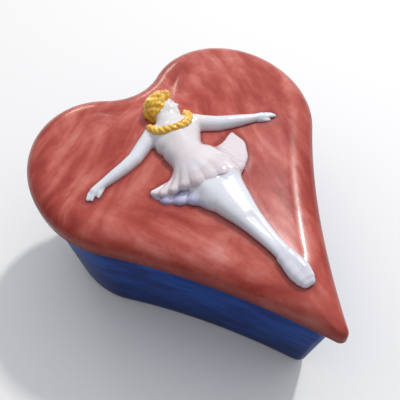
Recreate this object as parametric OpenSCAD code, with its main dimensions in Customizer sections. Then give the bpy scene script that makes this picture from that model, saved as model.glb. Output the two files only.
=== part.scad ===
// Heart-shaped ceramic trinket box with a lift-off lid and a dancer in relief on the lid.
// Millimetres, +Z up. The heart's point is towards -Y and its notch towards +Y.
// The origin is on the table, under the middle of the lid's outline.

/* [Heart outline] */
// Radius of each lobe, before the lengthwise stretch
lobe_r = 26; // [25:0.5:27]
// Sideways distance from the middle line to the centre of a lobe
lobe_x = 23.5; // [22.5:0.5:24.5]
// Radius of the rounded notch between the lobes
notch_r = 20; // [18:0.5:28]
// Radius of the long hollow curve of each flank
flank_r = 208; // [180:1:260]
// Radius of the point
point_r = 2.2; // [1.8:0.1:3]
// Distance from the lobes' centres to the centre of the point
point_y = 67; // [65:0.5:69]
// Lengthwise stretch of the whole outline
stretch = 1.26; // [1.2:0.01:1.3]

/* [Base] */
// Height of the base's rim, where the lid rests
base_h = 43.5; // [36:0.5:50]
// Thickness of the base's wall
wall = 3.5; // [3:0.1:4]
// Thickness of the base's floor
floor_t = 4; // [3.5:0.5:6]
// How far the wall leans in from the rim to the foot
base_lean = 3; // [1:0.5:4]
// Radius of the rounded bottom edge
foot_round = 2; // [1:0.5:3]

/* [Lid] */
// How far the lid stands out past the base
overhang = 2; // [1.5:0.1:2.5]
// Height of the lid's upright edge
lid_edge = 3.5; // [3:0.1:5]
// Width of the rounded shoulder, seen from above
shoulder_w = 7; // [5:0.5:8]
// Rise of the rounded shoulder
shoulder_h = 5.5; // [5:0.5:7]
// Rise of the crown, from the shoulder to the middle
crown_h = 2; // [1:0.5:3]
// Thickness of the lid above its hollow
lid_t = 4; // [3.5:0.5:5]

/* [Locating flange] */
// Sideways clearance between the flange and the base's wall
flange_gap = 0.9; // [0.7:0.1:1.2]
// Thickness of the flange
flange_t = 2.5; // [2:0.1:3]
// How far the flange reaches down into the base
flange_drop = 4; // [3:0.5:6]

/* [Dancer] */
// How far the whole dancer is raised out of the lid
dancer_lift = 0; // [-0.5:0.1:1]
// Thickness of the neck garland
garland_t = 2.3; // [1.8:0.1:3]
// Thickness of the tutu at its hem
hem_t = 2; // [1.6:0.1:3]

/* [Hidden] */

ball_fn = 20;
edge_break = 0.6;
corner_r = 4;
foot_ring = 8;
foot_hollow = 0.8;
seat_z = base_h;
shoulder_z = seat_z + lid_edge + shoulder_h;
foot_inset = overhang + base_lean;
flange_out = overhang + wall + flange_gap;
flange_in = flange_out + flange_t;

// The outline is arcs that meet smoothly. It is worked out with the lobes' centres on y = 0,
// then stretched along Y and shifted so that its middle is over the origin.
shift_y = (point_y + point_r - lobe_r) * stretch / 2;
hub = [0, shift_y];
notch_y = sqrt(pow(lobe_r + notch_r, 2) - pow(lobe_x, 2));
lobe_c = [lobe_x, 0];
point_gap = norm([lobe_x, point_y]);
point_dir = [-lobe_x, -point_y] / point_gap;
flank_along = (pow(lobe_r + flank_r, 2) - pow(flank_r + point_r, 2) + pow(point_gap, 2))
    / (2 * point_gap);
flank_across = sqrt(pow(lobe_r + flank_r, 2) - pow(flank_along, 2));
flank_c = lobe_c + flank_along * point_dir + flank_across * [-point_dir.y, point_dir.x];
notch_steps = 5;
lobe_steps = 20;
flank_steps = 8;
point_steps = 4;
least_point_r = 1.5;

// Points on an arc from angle a up to, but not including, angle b
function arc(c, r, a, b, steps) =
    [for (i = [0:steps - 1]) let (t = a + (b - a) * i / steps) c + r * [cos(t), sin(t)]];
function angle_to(from, to) = atan2(to.y - from.y, to.x - from.x);
function tip_r(inset) = max(point_r - inset, least_point_r);
function tip_c(inset) =
    [0, flank_c.y + sqrt(pow(flank_r + inset + tip_r(inset), 2) - pow(flank_c.x, 2))];
function right_half(inset) = concat(
    arc([0, notch_y], notch_r + inset, -90, angle_to([0, notch_y], lobe_c), notch_steps),
    arc(lobe_c, lobe_r - inset, angle_to(lobe_c, [0, notch_y]), angle_to(lobe_c, flank_c), lobe_steps),
    arc(flank_c, flank_r + inset, angle_to(flank_c, lobe_c), angle_to(flank_c, tip_c(inset)), flank_steps),
    arc(tip_c(inset), tip_r(inset), angle_to(tip_c(inset), flank_c), -90, point_steps),
    [tip_c(inset) - [0, tip_r(inset)]]);
function outline(inset) =
    let (half = right_half(inset), last = len(half) - 2)
    [for (p = concat(half, [for (i = [last:-1:1]) [-half[i].x, half[i].y]]))
        [p.x, p.y * stretch + shift_y]];

// A station is [inset, scale about the hub, z]. A ring is the outline at one station.
function ring(s) =
    [for (p = outline(s[0])) [hub.x + (p.x - hub.x) * s[1], hub.y + (p.y - hub.y) * s[1], s[2]]];

// A closed solid through a list of stations, with its first and last rings closed to the hub
module heart_solid(stations) {
    n = len(outline(0));
    count = len(stations);
    points = concat(
        [for (s = stations) each ring(s)],
        [[hub.x, hub.y, stations[0][2]], [hub.x, hub.y, stations[count - 1][2]]]);
    walls = [for (k = [0:count - 2]) for (i = [0:n - 1])
        let (a = k * n + i, b = k * n + (i + 1) % n, c = b + n, d = a + n)
        each [[b, c, d], [b, d, a]]];
    first_cap = [for (i = [0:n - 1]) [count * n, (i + 1) % n, i]];
    last_cap = [for (i = [0:n - 1])
        [(count - 1) * n + (i + 1) % n, count * n + 1, (count - 1) * n + i]];
    polyhedron(points = points, faces = concat(walls, first_cap, last_cap));
}

// Quarter rounds as stations, from angle a to angle b
function round_stations(inset, z, w, h, angles) =
    [for (t = angles) [inset + w * (1 - cos(t)), 1, z + h * sin(t)]];

lid_outside = concat(
    [[edge_break, 1, seat_z], [0, 1, seat_z + edge_break]],
    round_stations(0, seat_z + lid_edge, shoulder_w, shoulder_h, [0:15:90]),
    [for (s = [0.85, 0.65, 0.45, 0.25]) [shoulder_w, s, shoulder_z + crown_h * (1 - s * s)]]);
ceiling_z = shoulder_z - lid_t;
lid_inside = [
    [flange_in + corner_r / 2, 1, ceiling_z],
    [flange_in + corner_r / 8, 1, ceiling_z - corner_r / 8],
    [flange_in, 1, ceiling_z - corner_r / 2],
    [flange_in, 1, seat_z]];

// A ball of the dancer: [x, y, height above the lid's shoulder, radius]
module ball(p) {
    translate([p[0], p[1], shoulder_z + dancer_lift + p[2]]) sphere(r = p[3], $fn = ball_fn);
}

// A limb: balls joined one after the other
module limb(balls) {
    for (i = [0:len(balls) - 2]) hull() {
        ball(balls[i]);
        ball(balls[i + 1]);
    }
}

// A body: pairs of balls joined into one smooth mass
module body(pairs) {
    for (i = [0:len(pairs) - 2]) hull() {
        ball(pairs[i][0]);
        ball(pairs[i][1]);
        ball(pairs[i + 1][0]);
        ball(pairs[i + 1][1]);
    }
}

// A pleated skirt: wedges from the waist's balls out to the hem's balls
module skirt(waist, hem) {
    for (i = [0:len(hem) - 2]) hull() {
        ball(waist[i]);
        ball(waist[i + 1]);
        ball(hem[i]);
        ball(hem[i + 1]);
    }
}

// Left and right balls of the trunk, from the top of the neck to the hips
trunk = [
    [[-1.2, 29.6, 3.6, 2.4], [0.6, 29.2, 3.6, 2.4]],
    [[-2.6, 26.8, 3.4, 2.7], [1.2, 26.2, 3.4, 2.7]],
    [[-6.2, 26, 2.8, 3.4], [4, 23.8, 2.8, 3.4]],
    [[-5.8, 22.6, 2.8, 4], [3, 21.4, 2.8, 4]],
    [[-5.2, 19.4, 3, 4.4], [1.2, 19.2, 3, 4.4]],
    [[-5.2, 15.4, 2.8, 4.2], [-0.6, 15.4, 2.8, 4.2]],
    [[-5.4, 11, 2.4, 4], [-0.8, 11.8, 2.4, 4]],
    [[-6, 7, 2.2, 4.2], [1, 8, 2.2, 4.2]],
    [[-5.6, 3, 2, 4.2], [2, 3.6, 2, 4.2]]];
skull = [
    [-2.2, 36, 3.6, 3.6],
    [0, 36.4, 4, 4.2],
    [0.6, 34.4, 4.2, 4.6],
    [1.4, 32.2, 4, 4.2],
    [2.6, 30.2, 3.8, 2.8]];
nose = [[4.4, 33.2, 5.2, 1.2], [5.5, 31.6, 5.2, 0.7], [4, 30.4, 4.8, 1]];
curls = [
    [-4.4, 32.4, 2.6, 2.4],
    [-4.8, 35.2, 3, 3],
    [-3.2, 38, 3.4, 3.2],
    [-0.2, 39.2, 3.6, 3.4],
    [2.8, 38.4, 3.8, 3],
    [0.8, 37, 5.6, 3],
    [-2, 35.6, 5.2, 3]];
left_arm_line = [
    [-8, 26.4, 2.4, 3.2],
    [-12.6, 23.4, 2.2, 3],
    [-17, 21, 1.9, 2.7],
    [-21, 20, 1.7, 2.4],
    [-25, 19.4, 1.4, 2.1],
    [-29, 18.8, 1.1, 1.8],
    [-32, 18.3, 1, 1.9],
    [-34, 17.8, 0.7, 1.4],
    [-35.4, 17.1, 0.5, 0.9]];
right_arm_line = [
    [5.6, 23.2, 2.6, 3.2],
    [8.6, 20.4, 2.4, 3],
    [12, 18, 2.1, 2.7],
    [15.6, 16.2, 1.9, 2.4],
    [19, 15, 1.6, 2.1],
    [22.4, 13.8, 1.4, 1.7],
    [25.6, 12.7, 1.2, 1.8],
    [28.2, 11.6, 0.9, 1.4],
    [30, 10.8, 0.6, 0.9]];
garland_line = [
    [-7, 28.6, 4],
    [-7.2, 26.4, 5.4],
    [-6.2, 24.2, 6],
    [-4.4, 22.4, 6.8],
    [-2.4, 21.2, 7.3],
    [0, 20.8, 7.4],
    [2.2, 21.4, 7],
    [4.2, 22.8, 6],
    [5.4, 24.8, 5.2],
    [5.2, 27, 3.8]];
tutu_waist = [
    [-8.4, 7.4, 2, 2],
    [-8, 6.4, 2.6, 2.2],
    [-7, 5.6, 3.4, 2.4],
    [-5.4, 5, 4, 2.4],
    [-3.6, 4.8, 4.2, 2.4],
    [-1.8, 4.8, 4.2, 2.4],
    [0, 5.2, 4, 2.4],
    [1.6, 6, 3.6, 2.4],
    [3, 7, 3, 2.2],
    [3.6, 8.2, 2.4, 2],
    [3.6, 9.4, 2, 2]];
tutu_hem = [
    [-18.4, 6.4, 2.2],
    [-16.4, 3.4, 2.8],
    [-13.2, 1.2, 3.4],
    [-9.6, -0.4, 4.2],
    [-6.2, -2.8, 5],
    [-2.4, -3.4, 5.2],
    [1.2, -4.2, 5],
    [5, -4, 3.8],
    [9.6, -0.6, 2.6],
    [13.6, 5.6, 1.6],
    [13.4, 10.4, 1.4]];
petticoat_waist = [
    [-8, 5, 1, 2.2],
    [-7, 4, 1, 2.2],
    [-5.6, 3, 1, 2.2],
    [-4, 2.4, 1, 2.2]];
petticoat_hem = [
    [-17.4, 4, 0.8, 1.5],
    [-14.6, 0.8, 0.9, 1.5],
    [-11.4, -1.6, 1.2, 1.6],
    [-8.6, -3.4, 1.4, 1.6]];
left_leg_line = [
    [-4.8, 0, 2, 4.2],
    [-4.6, -4, 2, 4.2],
    [-4.2, -8, 1.9, 3.8],
    [-3.6, -12, 1.8, 3.3],
    [-2.9, -16, 1.7, 2.8],
    [-2.2, -20, 1.6, 2.4],
    [-1.7, -24, 1.5, 2.1],
    [-1.3, -28, 1.4, 1.8],
    [-1, -31.4, 1.3, 1.5],
    [-1.1, -34, 1.2, 1.5]];
right_leg_line = [
    [1.8, 0.4, 2, 4.2],
    [1.6, -4, 2, 4],
    [1.3, -8, 1.9, 3.5],
    [1.1, -12, 1.8, 3],
    [0.9, -16, 1.7, 2.5],
    [0.8, -20, 1.6, 2.1],
    [0.7, -24, 1.5, 1.9],
    [0.7, -28, 1.5, 1.7],
    [0.7, -31, 1.5, 1.5],
    [0.8, -33.4, 1.5, 1.5]];
left_slipper_line = [
    [-1.4, -34.4, 1.3, 1.8],
    [-1.7, -37, 1.2, 1.9],
    [-1.9, -39.4, 1.1, 2],
    [-1.8, -41.4, 0.9, 1.7],
    [-1.6, -42.6, 0.8, 1.2]];
right_slipper_line = [
    [0.8, -34, 1.5, 1.7],
    [1, -36.6, 1.5, 1.9],
    [0.9, -39.2, 1.4, 2],
    [0.5, -41.4, 1.2, 1.7],
    [0.2, -42.8, 1, 1.2]];

module lid_form() heart_solid(concat([[shoulder_w, 1, seat_z]], lid_outside));
module torso_form() body(trunk);
module head_form() {
    limb(skull);
    limb(nose);
}
module left_arm_form() limb(left_arm_line);
module right_arm_form() limb(right_arm_line);
module hem_form() skirt(tutu_waist, [for (p = tutu_hem) concat(p, hem_t / 2)]);

// The tray that holds the trinkets
module base_box() {
    color("royalblue") heart_solid(concat(
        [[foot_inset + foot_round + foot_ring, 1, foot_hollow],
            [foot_inset + foot_round + foot_ring - foot_hollow, 1, 0]],
        [for (t = [0:30:90]) [foot_inset + foot_round * (1 - sin(t)), 1, foot_round * (1 - cos(t))]],
        [[overhang, 1, base_h - edge_break],
            [overhang + edge_break, 1, base_h],
            [overhang + wall - edge_break, 1, base_h],
            [overhang + wall, 1, base_h - edge_break]],
        [for (t = [0:30:90])
            [foot_inset + wall + corner_r * (1 - cos(t)), 1, floor_t + corner_r * (1 - sin(t))]]));
}

// The cover, hollow underneath, which rests on the base's rim
module lid_shell() {
    color("indianred") heart_solid(concat(lid_inside, lid_outside));
}

// The low wall under the lid that drops inside the base
module locating_flange() {
    color("indianred") translate([0, 0, seat_z - flange_drop]) linear_extrude(flange_drop) difference() {
        polygon(outline(flange_out));
        polygon(outline(flange_in));
    }
}

module torso() {
    color("white") difference() {
        torso_form();
        lid_form();
    }
}

module head() {
    color("white") difference() {
        head_form();
        lid_form();
        torso_form();
    }
}

module hair() {
    color("gold") difference() {
        limb(curls);
        lid_form();
        head_form();
    }
}

module neck_garland() {
    color("gold") difference() {
        limb([for (p = garland_line) concat(p, garland_t / 2)]);
        lid_form();
        torso_form();
        left_arm_form();
        right_arm_form();
    }
}

module left_arm() {
    color("white") difference() {
        left_arm_form();
        lid_form();
        torso_form();
    }
}

module right_arm() {
    color("white") difference() {
        right_arm_form();
        lid_form();
        torso_form();
    }
}

// The short pleated skirt
module tutu() {
    color("mistyrose") difference() {
        hem_form();
        lid_form();
        torso_form();
    }
}

module left_leg() {
    color("white") difference() {
        limb(left_leg_line);
        lid_form();
        torso_form();
        hem_form();
    }
}

module right_leg() {
    color("white") difference() {
        limb(right_leg_line);
        lid_form();
        torso_form();
        hem_form();
        limb(left_leg_line);
    }
}

// The under-layer that shows below the hem
module petticoat() {
    color("lavender") difference() {
        skirt(petticoat_waist, petticoat_hem);
        lid_form();
        hem_form();
    }
}

module left_slipper() {
    color("white") difference() {
        limb(left_slipper_line);
        lid_form();
        limb(left_leg_line);
    }
}

module right_slipper() {
    color("white") difference() {
        limb(right_slipper_line);
        lid_form();
        limb(left_leg_line);
        limb(right_leg_line);
        limb(left_slipper_line);
    }
}

base_box();
lid_shell();
locating_flange();
torso();
head();
hair();
neck_garland();
left_arm();
right_arm();
tutu();
petticoat();
left_leg();
right_leg();
left_slipper();
right_slipper();
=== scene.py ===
"""A heart-shaped ceramic trinket box: red lid with a dancer in relief, blue base.

Sizes are in millimetres until a mesh is made, then in metres, in the CAD model's frame:
+Z up, the heart's notch towards +Y, its point towards -Y.
"""

import math

import bpy
import numpy as np
from mathutils import Matrix, Vector


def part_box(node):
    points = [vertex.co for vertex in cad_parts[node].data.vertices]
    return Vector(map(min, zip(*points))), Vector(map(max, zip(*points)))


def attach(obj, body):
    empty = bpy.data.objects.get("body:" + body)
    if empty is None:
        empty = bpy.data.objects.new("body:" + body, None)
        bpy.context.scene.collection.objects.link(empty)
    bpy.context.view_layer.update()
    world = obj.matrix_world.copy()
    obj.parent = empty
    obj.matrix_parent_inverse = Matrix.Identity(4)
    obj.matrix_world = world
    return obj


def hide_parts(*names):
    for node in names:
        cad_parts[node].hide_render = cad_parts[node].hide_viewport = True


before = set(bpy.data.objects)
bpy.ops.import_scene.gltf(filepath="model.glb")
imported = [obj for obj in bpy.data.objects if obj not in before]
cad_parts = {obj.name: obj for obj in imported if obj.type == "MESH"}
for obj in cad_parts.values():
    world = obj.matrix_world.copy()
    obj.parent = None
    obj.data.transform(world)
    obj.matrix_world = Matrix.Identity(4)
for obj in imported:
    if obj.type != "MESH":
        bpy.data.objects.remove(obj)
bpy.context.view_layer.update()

MM = 0.001


def cad_box_mm(node):
    """Lowest and highest corner of a CAD node, in millimetres."""
    low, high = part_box(node)
    return np.array(low) / MM, np.array(high) / MM


# ---------------------------------------------------------------- sizes, from the frame and the design
LID_LOW, LID_HIGH = cad_box_mm("lid_shell")
BASE_HIGH = cad_box_mm("base_box")[1]
FLANGE_LOW, FLANGE_HIGH = cad_box_mm("locating_flange")
SEAT_Z = LID_LOW[2]

LOBE_R = 26.0
LOBE_X = LID_HIGH[0] - LOBE_R
NOTCH_R = 20.0
FLANK_R = 208.0
POINT_R = 2.2
POINT_Y = 67.0
STRETCH = 1.26
SHIFT_Y = (POINT_Y + POINT_R - LOBE_R) * STRETCH / 2
HUB = np.array([0.0, SHIFT_Y])

OVERHANG = LID_HIGH[0] - BASE_HIGH[0]
WALL = 3.5
FLOOR = 4.0
LEAN = 3.0
LID_EDGE = 3.5
SHOULDER_W = 8.0
SHOULDER_H = 5.5
CROWN_H = 2.0
LID_THICK = 4.0
FLANGE_OUT = LID_HIGH[0] - FLANGE_HIGH[0]
FLANGE_IN = FLANGE_OUT + 2.5
FOOT_RING = 8.0
FOOT_HOLLOW = 0.8
SHOULDER_Z = SEAT_Z + LID_EDGE + SHOULDER_H


# ---------------------------------------------------------------- the heart's outline
def arc(centre, radius, start, stop, count):
    t = np.linspace(start, stop, count, endpoint=False)
    return np.array(centre) + radius * np.stack([np.cos(t), np.sin(t)], 1)


def angle_to(a, b):
    return math.atan2(b[1] - a[1], b[0] - a[0])


def flank_centre():
    """Centre of the long hollow arc that joins a lobe to the point."""
    gap = math.hypot(LOBE_X, POINT_Y)
    along_dir = np.array([-LOBE_X, -POINT_Y]) / gap
    across_dir = np.array([-along_dir[1], along_dir[0]])
    along = ((LOBE_R + FLANK_R) ** 2 - (FLANK_R + POINT_R) ** 2 + gap**2) / (2 * gap)
    across = math.sqrt((LOBE_R + FLANK_R) ** 2 - along**2)
    return np.array([LOBE_X, 0.0]) + along * along_dir + across * across_dir


FLANK_C = flank_centre()
NOTCH_C = np.array([0.0, math.sqrt((LOBE_R + NOTCH_R) ** 2 - LOBE_X**2)])
LOBE_C = np.array([LOBE_X, 0.0])


def outline(inset, softness=0.0):
    """The heart's outline moved inwards. softness makes the point rounder the further in it goes."""
    tip_r = max(POINT_R - inset, 1.5) + softness * max(inset, 0.0)
    reach = math.sqrt((FLANK_R + inset + tip_r) ** 2 - FLANK_C[0] ** 2)
    tip_c = np.array([0.0, FLANK_C[1] + reach])
    half = np.concatenate([
        arc(NOTCH_C, NOTCH_R + inset, -math.pi / 2, angle_to(NOTCH_C, LOBE_C), 14),
        arc(LOBE_C, LOBE_R - inset, angle_to(LOBE_C, NOTCH_C), angle_to(LOBE_C, FLANK_C), 70),
        arc(FLANK_C, FLANK_R + inset, angle_to(FLANK_C, LOBE_C), angle_to(FLANK_C, tip_c), 44),
        arc(tip_c, tip_r, angle_to(tip_c, FLANK_C), -math.pi / 2, 12),
        [tip_c - [0.0, tip_r]],
    ])
    whole = np.concatenate([half, half[-2:0:-1] * [-1, 1]])
    return whole * [1.0, STRETCH] + HUB


def ring(inset, scale, z, softness):
    flat = HUB + (outline(inset, softness) - HUB) * scale
    return np.column_stack([flat, np.full(len(flat), z)])


# ---------------------------------------------------------------- mesh helpers
def make_mesh(name, points_mm, faces, material, body):
    """A smooth piece from points in millimetres, riding on a CAD body."""
    mesh = bpy.data.meshes.new(name)
    mesh.from_pydata((np.asarray(points_mm) * MM).tolist(), [], [list(map(int, f)) for f in faces])
    mesh.validate()
    mesh.shade_smooth()
    mesh.materials.append(material)
    piece = bpy.data.objects.new(name, mesh)
    bpy.context.scene.collection.objects.link(piece)
    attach(piece, body)
    return piece


def join_rings(rings, closed_loop=False):
    """Points and faces of a surface through rings of equal length. It is capped unless the rings loop."""
    n = len(rings[0])
    points = np.concatenate(rings)
    faces = []
    last = len(rings) if closed_loop else len(rings) - 1
    for k in range(last):
        a, b = k * n, ((k + 1) % len(rings)) * n
        for i in range(n):
            j = (i + 1) % n
            faces.append((a + j, a + i, b + i, b + j))
    if not closed_loop:
        centres = np.array([rings[0].mean(0), rings[-1].mean(0)])
        first, final = len(points), len(points) + 1
        points = np.concatenate([points, centres])
        top = (len(rings) - 1) * n
        faces += [(first, i, (i + 1) % n) for i in range(n)]
        faces += [(final, top + (i + 1) % n, top + i) for i in range(n)]
    return points, faces


def heart_lathe(stations, softness):
    """Rings through stations of (inset, scale about the hub, z), capped at the hub."""
    return join_rings([ring(i, s, z, softness) for i, s, z in stations])


def quarter(inset, z, w, h, start, stop, count):
    """Stations round a quarter ellipse that starts at (inset, z) and ends w further in and h higher."""
    return [(inset + w * (1 - math.cos(t)), 1.0, z + h * math.sin(t))
            for t in np.radians(np.linspace(start, stop, count))]


# ---------------------------------------------------------------- solid modelling for the dancer
def blend_min(a, b, k):
    """Smooth minimum of two distance fields: their union with a fillet about k wide."""
    h = np.clip(0.5 + 0.5 * (b - a) / k, 0, 1)
    return b * (1 - h) + a * h - k * h * (1 - h)


def limb_field(p, balls):
    """Distance to balls (x, y, z, radius) that are joined one after the other by round cones."""
    best = np.full(p.shape[:-1], 1e9)
    for a, b in zip(balls[:-1], balls[1:]):
        start, span = np.array(a[:3]), np.array(b[:3]) - np.array(a[:3])
        t = np.clip(((p - start) @ span) / max(span @ span, 1e-9), 0, 1)
        gap = np.linalg.norm(p - start - t[..., None] * span, axis=-1)
        best = np.minimum(best, gap - (a[3] + t * (b[3] - a[3])))
    return best


def surface_net(field, low, high, step):
    """Closed mesh of field = 0 in the box low..high, with a point for each grid cell on the surface."""
    axes = [np.arange(lo, hi + step, step) for lo, hi in zip(low, high)]
    grid = np.stack(np.meshgrid(*axes, indexing="ij"), -1)
    value = field(grid)
    for axis in range(3):
        edge = [slice(None)] * 3
        for side in (0, -1):
            edge[axis] = side
            value[tuple(edge)] = np.maximum(value[tuple(edge)], step)
    inside = value < 0
    cells = tuple(n - 1 for n in value.shape)
    total, count = np.zeros(cells + (3,)), np.zeros(cells)
    for axis in range(3):
        u, v = [a for a in range(3) if a != axis]
        low_end = [slice(None)] * 3
        high_end = [slice(None)] * 3
        low_end[axis], high_end[axis] = slice(0, -1), slice(1, None)
        f0, f1 = value[tuple(low_end)], value[tuple(high_end)]
        cross = inside[tuple(low_end)] != inside[tuple(high_end)]
        t = np.where(cross, f0 / np.where(cross, f0 - f1, 1), 0)
        at = grid[tuple(low_end)].copy()
        at[..., axis] += t * step
        for du in (0, 1):
            for dv in (0, 1):
                pick = [slice(None)] * 3
                pick[u] = slice(du, value.shape[u] - 1 + du)
                pick[v] = slice(dv, value.shape[v] - 1 + dv)
                total += at[tuple(pick)] * cross[tuple(pick)][..., None]
                count += cross[tuple(pick)]
    active = count > 0
    index = np.full(cells, -1)
    index[active] = np.arange(active.sum())
    points = total[active] / count[active][:, None]
    faces = []
    for axis in range(3):
        u, v = (axis + 1) % 3, (axis + 2) % 3
        low_end = [slice(1, -1)] * 3
        high_end = [slice(1, -1)] * 3
        low_end[axis], high_end[axis] = slice(0, -1), slice(1, None)
        a, b = inside[tuple(low_end)], inside[tuple(high_end)]
        where = np.argwhere(a != b)
        where[:, u] += 1
        where[:, v] += 1
        entering = b[a != b]
        corner = []
        for du, dv in ((0, 0), (1, 0), (1, 1), (0, 1)):
            at = where.copy()
            at[:, u] -= du
            at[:, v] -= dv
            corner.append(index[at[:, 0], at[:, 1], at[:, 2]])
        quad = np.stack(corner, 1)
        quad[entering] = quad[entering][:, ::-1]
        faces.append(quad)
    return points, np.concatenate(faces)


def relax(points, field, step, rounds=2):
    """Moves each point along the field's slope onto the surface."""
    for _ in range(rounds):
        value, slope = field(points), gradient(field, points, step)
        move = value[:, None] * slope
        points = points - np.clip(move, -step, step)
    return points


def gradient(field, points, step):
    """Unit slope of the field at each point."""
    slope = np.zeros_like(points)
    for axis in range(3):
        nudge = np.zeros(3)
        nudge[axis] = step / 4
        slope[:, axis] = field(points + nudge) - field(points - nudge)
    return slope / np.maximum(np.linalg.norm(slope, axis=1, keepdims=True), 1e-9)


# ---------------------------------------------------------------- the dancer's shapes
# Every ball is (x, y, height above the lid's shoulder, radius).
SUNK = -1.0


def lifted(balls):
    return [(x, y, SHOULDER_Z + z, r) for x, y, z, r in balls]


LEFT_ARM = lifted([
    (-7.4, 26.2, 2.4, 2.8), (-12.2, 23.6, 2.2, 2.6), (-17, 21.0, 2.0, 2.3), (-21, 20, 1.8, 2.1),
    (-25, 19.4, 1.5, 1.9), (-29, 18.8, 1.3, 1.5), (-31.2, 18.4, 1.2, 1.4), (-33, 18, 0.9, 1.4)])
LEFT_FINGERS = [
    lifted([(-32.4, 18.4, 1.0, 1.1), (-34.6, 17.8, 0.9, 0.8), (-35.8, 16.8, 0.7, 0.6)]),
    lifted([(-32.2, 17.6, 1.0, 1.1), (-34.2, 16.8, 0.9, 0.75), (-35, 16, 0.7, 0.55)]),
    lifted([(-30.6, 17.6, 1.0, 0.9), (-32, 16.4, 0.8, 0.7), (-32.8, 15.8, 0.6, 0.5)])]
RIGHT_ARM = lifted([
    (5.2, 23.2, 2.6, 3.1), (8.6, 20.4, 2.4, 2.8), (12, 18, 2.2, 2.6), (15.6, 16.3, 2.1, 2.3),
    (19, 15, 1.9, 2.0), (22.2, 13.9, 1.6, 1.6), (24.4, 13.2, 1.4, 1.4), (26.4, 12.6, 1.2, 1.4)])
RIGHT_FINGERS = [
    lifted([(25.6, 13.2, 1.2, 1.0), (28, 12.6, 1.1, 0.8), (29.8, 11.8, 0.8, 0.6)]),
    lifted([(25.6, 12.2, 1.2, 1.1), (28.2, 11.6, 1.1, 0.8), (30.2, 10.8, 0.8, 0.6)]),
    lifted([(24.8, 12.2, 1.1, 0.9), (26.6, 11, 0.9, 0.7), (27.8, 10.4, 0.6, 0.5)])]
LEFT_LEG = lifted([
    (-4.8, 0, 2, 4.2), (-4.6, -4, 2, 4.2), (-4.2, -8, 1.9, 3.8), (-3.6, -12, 1.8, 3.2), (-2.9, -16, 1.7, 2.6),
    (-2.2, -20, 1.6, 2.2), (-1.7, -24, 1.5, 1.9), (-1.3, -28, 1.4, 1.6), (-1, -31.4, 1.3, 1.5),
    (-1, -34, 1.2, 1.5)])
THIGHS = lifted([(-1.6, 2, 2.4, 4.0), (-1.6, -4, 2.4, 3.9), (-1.5, -8, 2.2, 3.5), (-1.3, -12, 2.0, 3.0),
                 (-1.0, -16, 1.8, 2.4)])
RIGHT_LEG = lifted([
    (1.8, 0.4, 2, 4.2), (1.6, -4, 2, 4), (1.3, -8, 1.9, 3.5), (1.1, -12, 1.8, 2.9), (0.9, -16, 1.7, 2.3),
    (0.8, -20, 1.6, 1.9), (0.7, -24, 1.5, 1.7), (0.7, -28, 1.5, 1.5), (0.8, -31, 1.5, 1.5),
    (0.9, -33.4, 1.5, 1.5)])
LEFT_SLIPPER = lifted([
    (-1.1, -34.2, 1.2, 1.6), (-1.3, -37, 1.1, 1.9), (-1.3, -39.6, 0.9, 2), (-1.1, -41.7, 0.7, 1.7),
    (-0.9, -43, 0.5, 1.3)])
RIGHT_SLIPPER = lifted([
    (0.9, -33.8, 1.5, 1.6), (1.3, -36.7, 1.4, 1.9), (1.5, -39.5, 1.2, 2), (1.3, -41.8, 0.9, 1.7),
    (1.0, -43.2, 0.6, 1.3)])

# Left ball and right ball of the trunk at each level, from the top of the neck to the hips
TRUNK_LEFT = lifted([
    (-1.2, 30.4, 3.8, 2.2), (-2.0, 27.6, 3.4, 2.3), (-3.4, 26, 2.8, 2.6), (-6.4, 25.2, 2.2, 3.1),
    (-6.2, 22.6, 2.2, 3.6), (-6, 19.4, 2.2, 3.8), (-5.8, 15.4, 2.2, 3.6), (-5.6, 11, 2, 3.6),
    (-6, 7, 2, 3.9), (-5.6, 3, 2, 4.2)])
TRUNK_RIGHT = lifted([
    (0.6, 30.0, 3.8, 2.2), (0.8, 27.0, 3.4, 2.3), (1.8, 25, 2.8, 2.6), (4.2, 23.2, 2.2, 3.1),
    (3.4, 21.4, 2.2, 3.6), (2.0, 19.2, 2.2, 3.8), (0, 15.4, 2.2, 3.6), (-0.6, 11.8, 2, 3.6),
    (1, 8, 2, 3.9), (2, 3.6, 2, 4.2)])
CHEST = lifted([
    (-0.8, 26.5, 3.6, 3.0), (-1.8, 22.6, 3.2, 4.2), (-2.2, 19.4, 3.1, 4.4), (-2.8, 15.4, 2.8, 4.1),
    (-3.1, 11.4, 2.6, 3.9), (-2.6, 7.4, 2.4, 4.2), (-1.8, 3.4, 2.0, 4.4)])

# Each skirt runs from points on its waist to points on its hem: (x, y, height, radius)
TUTU_WAIST = lifted([
    (-9.8, 7.2, 0.6, 1.0), (-8.2, 7.0, 2.6, 1.8), (-6.2, 6.8, 3.8, 2.0), (-3.6, 7.0, 4.4, 2.0),
    (-1.0, 7.4, 4.2, 2.0), (1.6, 8.2, 3.0, 2.0), (3.6, 9.4, 1.4, 1.6), (5.0, 10.0, 0.4, 1.0)])
TUTU_HEM = lifted([
    (-18.7, 6.7, 1.0, 1.0), (-16.4, 4.2, 2.0, 1.0), (-13.0, 2.8, 3.0, 1.1), (-9.4, 1.6, 4.2, 1.1),
    (-5.0, -0.2, 5.2, 1.1), (-1.0, -0.8, 5.4, 1.1), (3.2, -1.8, 4.9, 1.1), (6.8, -2.0, 3.3, 1.1),
    (10.8, 1.0, 1.6, 1.1), (14.2, 6.8, 0.9, 1.0), (14.0, 12.2, 0.6, 0.9)])
PETTICOAT_WAIST = lifted([(-9.4, 6.4, 0, 1.0), (-8, 4, 0.6, 1.4), (-6, 2, 1, 1.4), (-4.6, -1, 1, 1.4)])
PETTICOAT_HEM = lifted([
    (-18.8, 5.6, 0.2, 0.9), (-17.2, 2.4, 0.5, 1.0), (-13.8, -0.4, 0.9, 1.2), (-10.4, -2.8, 1.4, 1.4),
    (-7.4, -6.2, 1.6, 1.6)])

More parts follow.
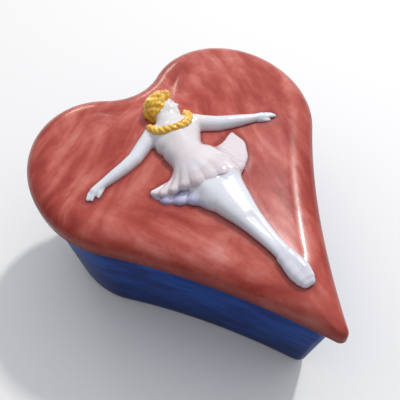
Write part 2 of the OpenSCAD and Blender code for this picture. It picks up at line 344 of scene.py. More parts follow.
HEAD_C = np.array([0.7, 31.6, SHOULDER_Z + 4.2])
HEAD_SIZE = 0.94
HEAD_UP = np.array([0.06, 0.98, 0.12])
HEAD_UP /= np.linalg.norm(HEAD_UP)
HEAD_FRONT = np.array([0.86, -0.10, 0.44])
HEAD_FRONT -= HEAD_FRONT @ HEAD_UP * HEAD_UP
HEAD_FRONT /= np.linalg.norm(HEAD_FRONT)
HEAD_SIDE = np.cross(HEAD_FRONT, HEAD_UP)
HEAD_SIDE *= np.sign(HEAD_SIDE[2])
HEAD_AXES = np.stack([HEAD_FRONT, HEAD_UP, HEAD_SIDE])


def panel(p, a0, b0, a1, b1):
    """Distance to a thick sheet between two bars, a0 to b0 and a1 to b1. Each corner is (x, y, z, radius)."""
    a0, b0, a1, b1 = (np.array(v) for v in (a0, b0, a1, b1))
    mid, span = (a0 + b0)[:3] / 2, (a1 + b1 - a0 - b0)[:3] / 2
    t = np.clip(((p - mid) @ span) / (span @ span), 0, 1)[..., None]
    a = a0 + t * (a1 - a0)
    bar = b0 + t * (b1 - b0) - a
    along = np.clip(((p - a[..., :3]) * bar[..., :3]).sum(-1) / (bar[..., :3] ** 2).sum(-1), 0, 1)[..., None]
    near = a + along * bar
    return np.linalg.norm(p - near[..., :3], axis=-1) - near[..., 3]


def trunk_field(p):
    best = np.full(p.shape[:-1], 1e9)
    levels = list(zip(TRUNK_LEFT, TRUNK_RIGHT))
    for upper, lower in zip(levels[:-1], levels[1:]):
        best = np.minimum(best, panel(p, *upper, *lower))
    return blend_min(best, limb_field(p, CHEST), 3.0)


def smooth_line(points, count):
    """A smooth curve through the points, in even steps between them."""
    pts = np.array(points, float)
    pts = np.concatenate([[2 * pts[0] - pts[1]], pts, [2 * pts[-1] - pts[-2]]])
    out = []
    for s in np.linspace(0, len(pts) - 3 - 1e-9, count):
        k, t = int(s), s - int(s)
        p0, p1, p2, p3 = pts[k:k + 4]
        out.append(0.5 * (2 * p1 + (p2 - p0) * t + (2 * p0 - 5 * p1 + 4 * p2 - p3) * t**2
                          + (3 * p1 - p0 - 3 * p2 + p3) * t**3))
    return np.array(out)


def skirt_field(p, waist, hem, pleats, depth, calm_from):
    """A pleated sheet. The pleats fade out from calm_from, a share of the way along the hem."""
    steps = pleats * 6
    u = np.linspace(0, 1, steps + 1)
    top, edge = smooth_line(waist, steps + 1), smooth_line(hem, steps + 1)
    strength = np.clip((1 - u) / (1 - calm_from), 0.15, 1) * np.clip(u / 0.08, 0.2, 1)
    wave = np.cos(2 * math.pi * pleats * u) * strength
    out = (edge - top)[:, :3]
    out[:, 2] = 0
    edge[:, :3] += out / np.linalg.norm(out, axis=1, keepdims=True) * (0.7 * depth * wave)[:, None]
    edge[:, 2] += depth * wave
    edge[:, 3] *= 1 + 0.18 * wave
    best = np.full(p.shape[:-1], 1e9)
    for k in range(steps):
        best = np.minimum(best, panel(p, top[k], top[k + 1], edge[k], edge[k + 1]))
    return best


def egg(q, centre, radii):
    """Distance, nearly, to an ellipsoid in the head's own axes."""
    radii = np.array(radii)
    off = q - np.array(centre)
    k0 = np.linalg.norm(off / radii, axis=-1)
    k1 = np.linalg.norm(off / radii**2, axis=-1)
    return k0 * (k0 - 1) / np.maximum(k1, 1e-6)


def head_field(p):
    """A calm doll's head in profile, on plain proportions. Axes: front, up, side."""
    q = (p - HEAD_C) @ HEAD_AXES.T / HEAD_SIZE
    d = egg(q, (-0.4, 0.4, 0), (4.3, 4.4, 3.7))
    d = blend_min(d, egg(q, (0.9, -1.8, 0), (3.2, 3.3, 2.7)), 1.6)
    d = blend_min(d, egg(q, (3.0, -3.9, 0), (1.2, 1.0, 1.1)), 1.0)
    d = blend_min(d, limb_field(q, [(3.5, -0.1, 0, 0.45), (4.5, -1.7, 0, 0.6)]), 0.7)
    d = blend_min(d, limb_field(q, [(3.6, 0.7, -1.5, 0.5), (3.9, 0.8, 0, 0.4), (3.6, 0.7, 1.5, 0.5)]), 0.9)
    for lip in ((3.75, -2.55, 0), (3.65, -3.05, 0)):
        d = blend_min(d, egg(q, lip, (0.5, 0.28, 0.8)), 0.35)
    for side in (-1, 1):
        d = blend_min(d, egg(q, (2.4, -1.9, 1.5 * side), (1.3, 1.3, 1.1)), 1.2)
        d = -blend_min(-d, egg(q, (4.2, -0.3, 1.35 * side), (0.7, 0.55, 0.75)), 0.5)
        d = blend_min(d, egg(q, (3.2, -0.4, 1.35 * side), (0.75, 0.5, 0.7)), 0.2)
        d = blend_min(d, egg(q, (-0.6, -0.9, 3.5 * side), (0.8, 1.1, 0.5)), 0.3)
    return d * HEAD_SIZE


def hair_field(p):
    """Short waved hair, swept back from the hairline, with soft locks."""
    q = (p - HEAD_C) @ HEAD_AXES.T / HEAD_SIZE
    d = egg(q, (-0.7, 1.2, 0.2), (4.9, 4.8, 4.7))
    locks = [(-4.0, 0.2, 0.6, 2.4), (-4.8, 2.6, 0.4, 2.5), (-4.0, 4.8, 0.2, 2.4), (-1.4, 5.4, 0.6, 2.4),
             (1.4, 5.2, 0.8, 2.1), (3.6, 4.2, 0.8, 1.7), (-2.0, 3.4, 3.0, 2.4), (0.8, 4.0, 2.9, 2.0),
             (-2.8, 0.4, 2.9, 2.2), (2.6, 3.0, 2.9, 1.6), (-0.2, 1.2, 3.8, 1.7),
             (2.4, 1.6, 3.6, 1.2)]
    for *centre, r in locks:
        d = blend_min(d, np.linalg.norm(q - np.array(centre), axis=-1) - r, 1.0)
    x, y, z = q[..., 0], q[..., 1], q[..., 2]
    wave = 0.16 * np.sin(1.9 * x + 1.1 * y + 0.8 * np.sin(1.3 * z)) * np.sin(1.7 * y - 1.5 * z + 0.6)
    wave += 0.07 * np.sin(4.6 * y - 2.9 * x + 1.8 * np.sin(1.1 * z + x))
    hairline = 0.62 * x - 0.78 * y - 1.4 + 0.25 * np.sin(2.4 * y + 1)
    return -blend_min(-(d + wave), -hairline, 0.8) * HEAD_SIZE


def arm_field(p, arm, fingers):
    d = limb_field(p, arm)
    for finger in fingers:
        d = blend_min(d, limb_field(p, finger), 0.35)
    return d


NEAR = 4.0
# The legs are drawn through more points, so that long highlights run smoothly along them
LEFT_LEG, RIGHT_LEG, THIGHS = [smooth_line(balls, 24).tolist() for balls in (LEFT_LEG, RIGHT_LEG, THIGHS)]


def box_of(balls, pad=0.0):
    pts = np.array(balls)
    return (pts[:, :3] - pts[:, 3:]).min(0) - pad, (pts[:, :3] + pts[:, 3:]).max(0) + pad


def near_box(field, balls):
    """The same field, worked out only near the balls' box. Further off, the distance to the box will do."""
    low, high = box_of(balls)

    def quick_field(p):
        away = np.linalg.norm(np.maximum(np.maximum(low - p, p - high), 0), axis=-1)
        close = away < NEAR
        away[close] = field(p[close])
        return away
    return quick_field


def left_leg_field(p):
    return blend_min(limb_field(p, LEFT_LEG), limb_field(p, THIGHS), 1.5)


TRUNK_BALLS = TRUNK_LEFT + TRUNK_RIGHT + CHEST
LEFT_ARM_BALLS = LEFT_ARM + sum(LEFT_FINGERS, [])
RIGHT_ARM_BALLS = RIGHT_ARM + sum(RIGHT_FINGERS, [])
TUTU_BALLS = TUTU_WAIST + TUTU_HEM
PETTICOAT_BALLS = PETTICOAT_WAIST + PETTICOAT_HEM
TUTU_PLEATS = (11, 0.22, 0.5)
PETTICOAT_PLEATS = (4, 0.12, 0.8)

PARTS = {
    "torso": near_box(trunk_field, TRUNK_BALLS),
    "head": near_box(head_field, [(*HEAD_C, 6.0)]),
    "left_arm": near_box(lambda p: arm_field(p, LEFT_ARM, LEFT_FINGERS), LEFT_ARM_BALLS),
    "right_arm": near_box(lambda p: arm_field(p, RIGHT_ARM, RIGHT_FINGERS), RIGHT_ARM_BALLS),
    "tutu": near_box(lambda p: skirt_field(p, TUTU_WAIST, TUTU_HEM, *TUTU_PLEATS), TUTU_BALLS),
    "petticoat": near_box(lambda p: skirt_field(p, PETTICOAT_WAIST, PETTICOAT_HEM, *PETTICOAT_PLEATS),
                          PETTICOAT_BALLS),
    "left_leg": near_box(left_leg_field, LEFT_LEG + THIGHS),
    "right_leg": near_box(lambda p: limb_field(p, RIGHT_LEG), RIGHT_LEG),
    "left_slipper": near_box(lambda p: limb_field(p, LEFT_SLIPPER), LEFT_SLIPPER),
    "right_slipper": near_box(lambda p: limb_field(p, RIGHT_SLIPPER), RIGHT_SLIPPER),
}
NEIGHBOURS = {
    "torso": ["tutu", "head", "left_arm", "right_arm", "left_leg", "right_leg"],
    "tutu": ["torso", "left_leg", "right_leg", "petticoat"],
    "petticoat": ["tutu", "torso", "left_leg"],
    "head": ["torso"],
    "left_arm": ["torso"],
    "right_arm": ["torso"],
    "left_leg": ["torso", "tutu", "petticoat", "right_leg"],
    "right_leg": ["torso", "tutu", "left_leg"],
    "left_slipper": ["left_leg", "right_leg", "right_slipper"],
    "right_slipper": ["left_leg", "right_leg", "left_slipper"],
}
# Width of the fillet between two parts, in millimetres. Names are in alphabetical order.
FILLET = 1.3
FILLETS = {
    ("torso", "tutu"): 3.4,
    ("left_leg", "tutu"): 1.8,
    ("right_leg", "tutu"): 3.4,
    ("left_leg", "right_leg"): 1.3,
    ("petticoat", "tutu"): 0.5,
    ("left_leg", "petticoat"): 3.0,
    ("petticoat", "torso"): 0.8,
    ("left_slipper", "right_slipper"): 1.6,
}
# How fast a part sinks below its neighbours past the joint, and how far it laps under them
SINK = 0.15
LAP = 1.2


def own_field(part, p):
    """The part's side of the smooth union with its neighbours. Past the joint it sinks below them."""
    own = PARTS[part](p)
    joined, others = own, np.full(own.shape, 1e9)
    for name in NEIGHBOURS[part]:
        other = PARTS[name](p)
        joined = blend_min(joined, other, FILLETS.get(tuple(sorted((part, name))), FILLET))
        others = np.minimum(others, other)
    past = np.maximum(own - others, 0)
    d = np.maximum(joined + SINK * past, own - LAP)
    return np.maximum(d, SHOULDER_Z + SUNK - p[..., 2])


def figure_field(p):
    """Distance to the nearest part of the dancer."""
    return np.minimum.reduce([field(p) for field in PARTS.values()])


def field_piece(name, field, low, high, step, material):
    """Meshes a distance field and puts it on the lid in place of the CAD node of the same name."""
    points, faces = surface_net(field, low, high, step)
    points = relax(points, field, step)
    piece = make_mesh(name + "_glazed", points, faces, material, "lid")
    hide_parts(name)
    return piece


# ---------------------------------------------------------------- materials
class Nodes:
    """A short way to add linked shader nodes to one material."""

    def __init__(self, name):
        self.material = bpy.data.materials.new(name)
        self.material.use_nodes = True
        self.tree = self.material.node_tree
        self.tree.nodes.clear()
        self.shader = self.add("ShaderNodeBsdfPrincipled")
        output = self.add("ShaderNodeOutputMaterial")
        self.link(self.shader.outputs["BSDF"], output.inputs["Surface"])
        self.place = self.add("ShaderNodeTexCoord").outputs["Object"]

    def add(self, kind, **settings):
        node = self.tree.nodes.new(kind)
        for key, value in settings.items():
            setattr(node, key, value)
        return node

    def link(self, source, target):
        self.tree.links.new(source, target)

    def mapping(self, turn=0.0, stretch=(1, 1, 1)):
        node = self.add("ShaderNodeMapping", vector_type="TEXTURE")
        node.inputs["Rotation"].default_value = (0, 0, turn)
        node.inputs["Scale"].default_value = [1 / s for s in stretch]
        self.link(self.place, node.inputs["Vector"])
        return node.outputs["Vector"]

    def noise(self, place, scale, detail=3.0, rough=0.55, warp=0.0):
        node = self.add("ShaderNodeTexNoise")
        node.inputs["Scale"].default_value = scale
        node.inputs["Detail"].default_value = detail
        node.inputs["Roughness"].default_value = rough
        node.inputs["Distortion"].default_value = warp
        self.link(place, node.inputs["Vector"])
        return node.outputs["Fac"]

    def ramp(self, source, stops):
        node = self.add("ShaderNodeValToRGB")
        ramp = node.color_ramp
        while len(ramp.elements) < len(stops):
            ramp.elements.new(0.5)
        for element, (at, colour) in zip(ramp.elements, stops):
            element.position = at
            element.color = (*colour, 1) if hasattr(colour, "__len__") else (colour, colour, colour, 1)
        self.link(source, node.inputs["Fac"])
        return node.outputs["Color"]

    def mix(self, kind, factor, a, b):
        node = self.add("ShaderNodeMix", data_type="RGBA", blend_type=kind)
        for socket, value in (("Factor", factor), ("A", a), ("B", b)):
            target = [s for s in node.inputs if s.name == socket and s.enabled][0]
            if hasattr(value, "is_linked"):
                self.link(value, target)
            elif hasattr(value, "__len__"):
                target.default_value = (*value, 1)
            else:
                target.default_value = value
        return [s for s in node.outputs if s.enabled][0]

    def along(self, axis):
        """The place along X, Y or Z, in metres."""
        node = self.add("ShaderNodeSeparateXYZ")
        self.link(self.place, node.inputs["Vector"])
        return node.outputs[axis]

    def attribute(self, name):
        """A value that the mesh stores at its points."""
        return self.add("ShaderNodeAttribute", attribute_name=name).outputs["Fac"]

    def span(self, source, low, high):
        """source, mapped so that low is 0 and high is 1."""
        node = self.add("ShaderNodeMapRange")
        node.inputs["From Min"].default_value = low
        node.inputs["From Max"].default_value = high
        self.link(source, node.inputs["Value"])
        return node.outputs["Result"]

    def colour(self, source):
        self.link(source, self.shader.inputs["Base Color"])

    def rough(self, source, low, high):
        node = self.add("ShaderNodeMapRange")
        node.inputs["To Min"].default_value = low
        node.inputs["To Max"].default_value = high
        self.link(source, node.inputs["Value"])
        self.link(node.outputs["Result"], self.shader.inputs["Roughness"])

    def bump(self, layers):
        """Layers of (source, depth in metres), one on top of the other."""
        last = None
        for source, depth in layers:
            node = self.add("ShaderNodeBump")
            node.inputs["Strength"].default_value = 1.0
            node.inputs["Distance"].default_value = depth
            self.link(source, node.inputs["Height"])
            if last is not None:
                self.link(last, node.inputs["Normal"])
            last = node.outputs["Normal"]
        self.link(last, self.shader.inputs["Normal"])

    def gloss(self, coat, coat_rough, ior=1.5, specular=0.5):
        self.shader.inputs["IOR"].default_value = ior
        self.shader.inputs["Specular IOR Level"].default_value = specular
        self.shader.inputs["Coat Weight"].default_value = coat
        self.shader.inputs["Coat Roughness"].default_value = coat_rough
        self.shader.inputs["Coat IOR"].default_value = 1.5


# Directions of the brush strokes over the left lobe, the left flank and the right half
BRUSH_LOBE, BRUSH_FLANK, BRUSH_RIGHT = math.radians(31), math.radians(116), math.radians(78)


def red_glaze():
    """Brick-red underglaze, brushed on in mottled strokes under a clear glaze."""
    m = Nodes("red_glaze")
    lobe, flank, right = [m.noise(m.mapping(turn, (1.0, 3.0, 1.0)), 50, 3, 0.55, 0.5)
                          for turn in (BRUSH_LOBE, BRUSH_FLANK, BRUSH_RIGHT)]
    strokes = m.mix("MIX", m.span(m.along("Y"), 0.000, 0.016), flank, lobe)
    strokes = m.mix("MIX", m.span(m.along("X"), -0.006, 0.010), strokes, right)
    cloud = m.noise(m.mapping(0.3), 75, 4, 0.62, 0.9)
    fine = m.noise(m.mapping(0.9, (1, 1.6, 1)), 260, 3, 0.6, 0.4)
    mottled = m.mix("MIX", 0.30, strokes, cloud)
    mottled = m.mix("MIX", 0.08, mottled, fine)
    base = m.ramp(mottled, [(0.36, (0.270, 0.027, 0.020)), (0.45, (0.350, 0.047, 0.034)),
                            (0.52, (0.420, 0.078, 0.058)), (0.61, (0.510, 0.140, 0.112)),
                            (0.72, (0.610, 0.255, 0.220))])
    # Painted shade and pooled glaze: the red darkens to maroon round the dancer, where it meets the lid
    pooled_glaze_and_shade = m.attribute("pooled_glaze_and_shade")
    base = m.mix("MIX", m.ramp(pooled_glaze_and_shade, [(0.1, 0.0), (0.9, 0.72)]), base, (0.22, 0.020, 0.020))
    # Painted shade, partly pooled glaze: the red darkens towards the lid's lower edge, which faces down
    height = m.span(m.along("Z"), SEAT_Z * MM, (SEAT_Z + 8.4) * MM)
    foot = m.ramp(height, [(0.0, 0.92), (0.5, 0.5), (1.0, 0.0)])
    base = m.mix("MIX", foot, base, (0.15, 0.014, 0.011))
    m.colour(base)
    m.rough(mottled, 0.20, 0.34)
    m.gloss(0.12, 0.04, 1.4, 0.35)
    edge = m.span(m.along("Z"), (SEAT_Z + 2) * MM, (SEAT_Z + 8) * MM)
    sheen = m.ramp(edge, [(0.0, 0.03), (1.0, 0.35)])
    m.link(sheen, m.shader.inputs["Specular IOR Level"])
    wave = m.noise(m.mapping(), 26, 1, 0.4)
    pits = m.noise(m.mapping(), 420, 2, 0.5)
    m.bump([(wave, 0.0004), (strokes, 0.00010), (pits, 0.000012)])
    return m.material


def blue_glaze():
    """Cobalt glaze, a little uneven, with a bare ring of clay where the base stands."""
    m = Nodes("blue_glaze")
    cloud = m.noise(m.mapping(0.4, (1, 1, 2.2)), 55, 4, 0.55, 0.5)
    streak = m.noise(m.mapping(0.0, (1, 1, 5.0)), 40, 3, 0.55, 0.3)
    mottled = m.mix("MIX", 0.5, cloud, streak)
    base = m.ramp(mottled, [(0.38, (0.002, 0.015, 0.115)), (0.5, (0.003, 0.032, 0.205)),
                            (0.64, (0.008, 0.066, 0.310))])
    # Painted shade: the blue darkens towards the bottom of the wall, near the floor
    low = m.ramp(m.span(m.along("Z"), 0.0, 26 * MM), [(0.0, 0.7), (1.0, 0.0)])
    base = m.mix("MIX", low, base, (0.001, 0.008, 0.055))
    clay = m.ramp(m.span(m.along("Z"), 0.0, 0.6 * MM), [(0.15, 1.0), (0.5, 0.0)])
    base = m.mix("MIX", clay, base, (0.62, 0.54, 0.44))
    m.colour(base)
    m.rough(mottled, 0.24, 0.38)
    m.gloss(0.0, 0.08, 1.3, 0.08)
    wave = m.noise(m.mapping(), 32, 1, 0.4)
    pits = m.noise(m.mapping(), 420, 2, 0.5)
    m.bump([(wave, 0.0005), (mottled, 0.00005), (pits, 0.000012)])
    return m.material


def pale_glaze(name, tints, axis, low, high, edge_tint=None):
    """A pale glaze whose tint changes along one axis, a little cloudy, with a soft glow.

    edge_tint takes over at the left and right, where the arms are.
    """
    m = Nodes(name)
    base = m.ramp(m.span(m.along(axis), low * MM, high * MM), tints)
    if edge_tint is not None:
        node = m.add("ShaderNodeMath", operation="ABSOLUTE")
        m.link(m.along("X"), node.inputs[0])
        base = m.mix("MIX", m.span(node.outputs[0], 0.007, 0.013), base, edge_tint)
    cloud = m.noise(m.mapping(), 130, 4, 0.55, 0.3)
    shade = m.ramp(cloud, [(0.36, (0.93, 0.93, 0.95)), (0.6, (1.0, 1.0, 1.0))])
    base = m.mix("MULTIPLY", 1.0, base, shade)
    m.colour(base)
    m.rough(cloud, 0.16, 0.26)
    m.gloss(0.6, 0.05)
    m.shader.inputs["Subsurface Weight"].default_value = 0.1
    m.shader.inputs["Subsurface Radius"].default_value = (1.0, 0.85, 0.75)
    m.shader.inputs["Subsurface Scale"].default_value = 0.001
    wave = m.noise(m.mapping(), 110, 1, 0.4)
    pits = m.noise(m.mapping(), 600, 2, 0.5)
    m.bump([(wave, 0.00012), (pits, 0.00001)])
    return m.material


def gold_glaze():
    """Brushed amber-yellow glaze for the hair and the garland."""
    m = Nodes("gold_glaze")
    cloud = m.noise(m.mapping(), 230, 5, 0.6, 0.4)
    base = m.ramp(cloud, [(0.34, (0.50, 0.22, 0.012)), (0.46, (0.76, 0.40, 0.022)),
                          (0.56, (0.88, 0.55, 0.06)), (0.70, (0.95, 0.72, 0.24))])
    m.colour(base)
    m.rough(cloud, 0.20, 0.32)
    m.gloss(0.6, 0.06)
    wave = m.noise(m.mapping(), 260, 2, 0.45)
    m.bump([(wave, 0.00012)])
    return m.material


WAIST_PINK = (0.68, 0.61, 0.635)
RED = red_glaze()
BLUE = blue_glaze()
WHITE = pale_glaze("white_glaze", [
    (0.0, (0.60, 0.58, 0.66)), (0.14, (0.66, 0.675, 0.74)), (0.5, (0.695, 0.71, 0.755)), (0.66, WAIST_PINK),
    (0.8, (0.705, 0.67, 0.675)), (1.0, (0.71, 0.70, 0.705))], "Y", -44, 36, (0.68, 0.695, 0.75))
BLUSH = pale_glaze("blush_glaze", [(0.0, (0.66, 0.565, 0.605)), (1.0, WAIST_PINK)], "Y", -6, 8)
# Lavender underskirt that is also painted shade under the tutu's hem: darkest at the skirt's left tip, paler
# towards the leg
LAVENDER_AND_SHADE = pale_glaze("lavender_glaze", [(0.0, (0.36, 0.33, 0.50)), (0.6, (0.50, 0.50, 0.68)),
                                         (1.0, (0.68, 0.70, 0.80))], "X", -19, -6)
GOLD = gold_glaze()


# ---------------------------------------------------------------- lid, flange and base
SOFT_EDGE = 0.6
# The glaze's rise against the dancer, its width, and the width of the darker band round the dancer, which is
# pooled glaze and painted shade
MENISCUS = 0.12
MENISCUS_W = 1.2
POOLED_GLAZE_AND_SHADE_W = 1.2


def lid_piece():
    """A heart-shaped dish turned over: rounded shoulder, low crown, and a hollow underneath."""
    edge = LID_EDGE
    outside = [(2.2 * SOFT_EDGE, 1.0, SEAT_Z)]
    outside += [(SOFT_EDGE * 1.4 * (1 - math.cos(t)), 1.0, SEAT_Z + 1.3 * (1 - math.sin(t)))
                for t in np.radians(np.linspace(75, 0, 6))]
    outside += quarter(0, SEAT_Z + edge, SHOULDER_W, SHOULDER_H, 2, 88, 26)
    scales = np.linspace(1.0, 0.03, 96)
    outside += [(SHOULDER_W, s, SHOULDER_Z + CROWN_H * (1 - s * s) ** 1.3) for s in scales]
    ceiling = SHOULDER_Z - LID_THICK
    inside = [(FLANGE_IN + 2, s, ceiling) for s in np.linspace(0.1, 1.0, 12)]
    inside += [(FLANGE_IN + 2 * (1 - math.sin(t)), 1.0, ceiling - 2 * (1 - math.cos(t)))
               for t in np.radians(np.linspace(10, 90, 8))]
    inside += [(FLANGE_IN, 1.0, SEAT_Z + 0.4), (FLANGE_IN, 1.0, SEAT_Z)]
    stations = inside + [(FLANGE_IN - 2, 1.0, SEAT_Z), (WALL, 1.0, SEAT_Z)] + outside
    points, faces = heart_lathe(stations, 0.45)
    gap = np.where(points[:, 2] > SHOULDER_Z - 1.5, np.maximum(figure_field(points), 0), 99)
    points[:, 2] += MENISCUS * np.exp(-(gap / MENISCUS_W) ** 2)
    piece = make_mesh("lid_glazed", points, faces, RED, "lid")
    # Nearness to the dancer, kept at each point for the painted shade and pooled glaze round it
    pooled_glaze_and_shade = piece.data.attributes.new("pooled_glaze_and_shade", "FLOAT", "POINT")
    pooled_glaze_and_shade.data.foreach_set("value", np.exp(-(gap / POOLED_GLAZE_AND_SHADE_W) ** 2).astype(np.float32))
    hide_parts("lid_shell")


def flange_piece():
    """The ring under the lid that drops inside the base wall."""
    low, high = FLANGE_LOW[2], SEAT_Z + 0.6
    r = 0.9
    mid = (FLANGE_OUT + FLANGE_IN) / 2
    half = (FLANGE_IN - FLANGE_OUT) / 2
    turn = np.radians(np.linspace(0, 180, 13))
    section = [(FLANGE_OUT, 1.0, high)]
    section += [(mid - math.copysign(abs(math.cos(t)) ** 0.6, math.cos(t)) * half, 1.0,
                 low + r - r * math.sin(t)) for t in turn]
    section += [(FLANGE_IN, 1.0, high)]
    rings = [ring(i, s, z, 0.0) for i, s, z in section]
    points, faces = join_rings(rings, closed_loop=True)
    piece = make_mesh("flange_glazed", points, faces, RED, "lid")
    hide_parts("locating_flange")


def base_piece():
    """The tray: a leaning wall, a rounded foot with a shallow hollow under it, and a rounded floor inside."""
    rim = BASE_HIGH[2]
    lean = LEAN / rim
    foot_in = OVERHANG + LEAN
    under = [(foot_in + FOOT_RING + 1.5, s, FOOT_HOLLOW) for s in np.linspace(0.1, 1.0, 12)]
    under += [(foot_in + FOOT_RING + 0.8 * (1 - t), 1.0, FOOT_HOLLOW * (1 - t * t))
              for t in np.linspace(0, 1, 6)]
    under += [(foot_in + 3.2, 1.0, 0.0), (foot_in + 2.6, 1.0, 0.0)]
    turn = np.radians(np.linspace(0, 90, 10))
    foot = [(foot_in + 2.4 * (1 - math.sin(t)), 1.0, 2.4 * (1 - math.cos(t))) for t in turn]
    wall = [(foot_in - lean * z, 1.0, z) for z in np.linspace(4, rim - 1.2, 22)]
    top_out = OVERHANG + lean * 0.8
    lip = [(top_out + WALL / 2 - WALL / 2 * math.copysign(abs(math.cos(t)) ** 0.7, math.cos(t)), 1.0,
            rim - 0.9 + 0.9 * math.sin(t)) for t in np.radians(np.linspace(0, 180, 13))]
    inner = [(OVERHANG + WALL + lean * (rim - z), 1.0, z) for z in np.linspace(rim - 1.2, FLOOR + 6, 16)]
    corner_in = OVERHANG + WALL + lean * (rim - FLOOR - 5)
    bowl = [(corner_in + 5 * (1 - math.cos(t)), 1.0, FLOOR + 5 * (1 - math.sin(t)))
            for t in np.radians(np.linspace(0, 90, 10))]
    floor = [(corner_in + 5, s, FLOOR) for s in np.linspace(0.96, 0.1, 12)]
    points, faces = heart_lathe(under + foot + wall + lip + inner + bowl + floor, 0.25)
    piece = make_mesh("base_glazed", points, faces, BLUE, "base")
    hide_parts("base_box")


lid_piece()
flange_piece()
base_piece()


# ---------------------------------------------------------------- the dancer's pieces
def dancer_piece(part, balls, step, material):
    low, high = box_of(balls, 1.0)
    low[2] = SHOULDER_Z + SUNK - 2 * step
    piece = field_piece(part, lambda p: own_field(part, p), low, high, step, material)


def dancer():
    dancer_piece("torso", TRUNK_BALLS, 0.36, WHITE)
    dancer_piece("head", [(*HEAD_C, 6.5)], 0.22, WHITE)
    dancer_piece("left_arm", LEFT_ARM_BALLS, 0.3, WHITE)
    dancer_piece("right_arm", RIGHT_ARM_BALLS, 0.3, WHITE)
    dancer_piece("left_leg", LEFT_LEG, 0.32, WHITE)
    dancer_piece("right_leg", RIGHT_LEG, 0.32, WHITE)
    dancer_piece("left_slipper", LEFT_SLIPPER, 0.25, WHITE)
    dancer_piece("right_slipper", RIGHT_SLIPPER, 0.25, WHITE)
    dancer_piece("tutu", TUTU_BALLS, 0.3, BLUSH)
    # The petticoat is partly a lavender underskirt and partly a sheet of painted shade under the tutu's hem
    dancer_piece("petticoat", PETTICOAT_BALLS, 0.3, LAVENDER_AND_SHADE)


def hair_piece():
    def field(p):
        return np.maximum(hair_field(p), SHOULDER_Z + SUNK - p[..., 2])
    low, high = HEAD_C - 9.0, HEAD_C + 10.0
    low[2] = SHOULDER_Z + SUNK - 0.5
    piece = field_piece("hair", field, low, high, 0.22, GOLD)


GARLAND = [(-7.2, 28.4, 3.6), (-7.4, 26, 5.2), (-6.6, 23.6, 6), (-4.8, 21.6, 6.9), (-2.4, 20.4, 7.4),
           (0.2, 20.1, 7.4), (2.6, 20.9, 6.8), (4.6, 22.6, 5.8), (5.6, 24.8, 4.9), (5.2, 27.2, 3.6)]
ROPE_R = 1.25
ROPE_PITCH = 5.4


def garland_piece():
    """A rope of three twisted strands, swept along the neckline."""
    line = smooth_line([(x, y, SHOULDER_Z + z) for x, y, z in GARLAND], 220)
    along = np.gradient(line, axis=0)
    length = np.concatenate([[0], np.cumsum(np.linalg.norm(np.diff(line, axis=0), axis=1))])
    along /= np.linalg.norm(along, axis=1, keepdims=True)
    up = np.array([0.0, 0.0, 1.0]) - along * along[:, 2:]
    up /= np.linalg.norm(up, axis=1, keepdims=True)
    side = np.cross(along, up)
    turn = np.linspace(0, 2 * math.pi, 30, endpoint=False)
    rings = []
    for k, here in enumerate(line):
        twist = 2 * math.pi * length[k] / ROPE_PITCH
        end = min(length[k], length[-1] - length[k])
        taper = math.sqrt(min(1.0, 0.25 + end / 1.2))
        radius = ROPE_R * taper * (1 + 0.24 * np.abs(np.cos(1.5 * (turn - twist))) - 0.12)
        spoke = np.cos(turn)[:, None] * up[k] + np.sin(turn)[:, None] * side[k]
        rings.append(here + radius[:, None] * spoke)
    points, faces = join_rings(rings)
    piece = make_mesh("neck_garland_glazed", points, faces, GOLD, "lid")
    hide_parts("neck_garland")


dancer()
hair_piece()
garland_piece()


# ---------------------------------------------------------------- floor, lights and camera
def floor_piece():
    mesh = bpy.data.meshes.new("floor")
    half = 2.0
    corners = [(-half, -half, 0), (half, -half, 0), (half, half, 0), (-half, half, 0)]
    mesh.from_pydata(corners, [], [(0, 1, 2, 3)])
    floor = bpy.data.objects.new("floor", mesh)
    bpy.context.scene.collection.objects.link(floor)
    material = bpy.data.materials.new("floor")
    material.use_nodes = True
    shader = material.node_tree.nodes["Principled BSDF"]
    shader.inputs["Base Color"].default_value = (0.78, 0.78, 0.78, 1)
    shader.inputs["Roughness"].default_value = 0.85
    mesh.materials.append(material)


LIGHT_DISTANCE = 0.9
WORLD_LEAN = (0.38, 0.20, 0.90)
WORLD_STOPS = [(0.0, (0.14, 0.15, 0.17)), (0.3, (0.32, 0.33, 0.35)), (0.7, (0.84, 0.85, 0.88)),
               (1.0, (1.06, 1.08, 1.12))]
WORLD_STRENGTH = 1.05


def soft_box(name, way, width, height, power, colour):
    """An area light that looks at the middle of the lid from the way given, in metres and watts."""
    light = bpy.data.lights.new(name, "AREA")
    light.shape = "RECTANGLE"
    light.size, light.size_y = width, height
    light.energy = power
    light.color = colour
    lamp = bpy.data.objects.new(name, light)
    bpy.context.scene.collection.objects.link(lamp)
    lamp.location = Vector((0, 0, SEAT_Z * MM)) + way * LIGHT_DISTANCE
    lamp.rotation_euler = way.to_track_quat("Z", "Y").to_euler()


def direction(turn, tilt):
    """A unit vector from its angle round Z from +X and its angle above the floor, in degrees."""
    turn, tilt = math.radians(turn), math.radians(tilt)
    return Vector((math.cos(turn) * math.cos(tilt), math.sin(turn) * math.cos(tilt), math.sin(tilt)))


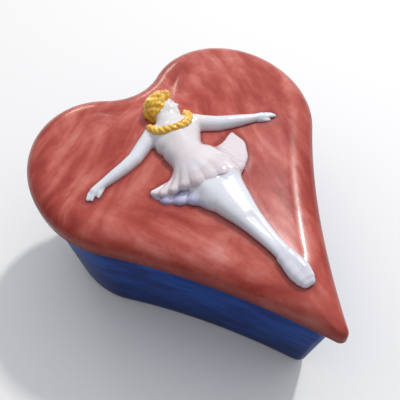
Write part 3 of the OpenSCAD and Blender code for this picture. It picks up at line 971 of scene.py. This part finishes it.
def studio():
    """A pale dome, brightest overhead and to the right, a small key light and a low warm strip behind."""
    world = bpy.data.worlds.new("studio")
    world.use_nodes = True
    tree = world.node_tree
    background = tree.nodes["Background"]
    place = tree.nodes.new("ShaderNodeTexCoord")
    lean = tree.nodes.new("ShaderNodeVectorMath")
    lean.operation = "DOT_PRODUCT"
    lean.inputs[1].default_value = WORLD_LEAN
    ramp = tree.nodes.new("ShaderNodeValToRGB")
    tree.links.new(place.outputs["Generated"], lean.inputs[0])
    tree.links.new(lean.outputs["Value"], ramp.inputs["Fac"])
    tree.links.new(ramp.outputs["Color"], background.inputs["Color"])
    while len(ramp.color_ramp.elements) < len(WORLD_STOPS):
        ramp.color_ramp.elements.new(0.5)
    for element, (at, colour) in zip(ramp.color_ramp.elements, WORLD_STOPS):
        element.position = at
        element.color = (*colour, 1)
    background.inputs["Strength"].default_value = WORLD_STRENGTH
    bpy.context.scene.world = world
    soft_box("key", direction(22, 52.5), 0.055, 0.07, 4.4, (1.0, 0.985, 0.96))
    soft_box("strip", direction(80, 14), 0.17, 0.10, 0.6, (1.0, 0.86, 0.72))
    bpy.context.scene.view_settings.view_transform = "Standard"


def camera():
    """The view: from above, over the dancer's left foot, with the notch at the upper left."""
    turn, tilt, roll = math.radians(-33.16), math.radians(55.55), math.radians(-2.45)
    back = Vector((math.sin(turn) * math.cos(tilt), -math.cos(turn) * math.cos(tilt), math.sin(tilt)))
    right = Vector((math.cos(turn), math.sin(turn), 0))
    up = back.cross(right)
    across = right * math.cos(roll) + up * math.sin(roll)
    above = -right * math.sin(roll) + up * math.cos(roll)
    data = bpy.data.cameras.new("camera")
    data.sensor_width = 36
    data.lens = 49.8
    data.shift_x, data.shift_y = -0.0796, 0.022
    eye = bpy.data.objects.new("camera", data)
    bpy.context.scene.collection.objects.link(eye)
    rows = Matrix((across, above, back)).transposed()
    place = Vector((-53.3, -88.9, 187.9)) * MM
    eye.matrix_world = Matrix.Translation(place) @ rows.to_4x4()
    bpy.context.scene.camera = eye


floor_piece()
studio()
camera()

bpy.context.view_layer.update()
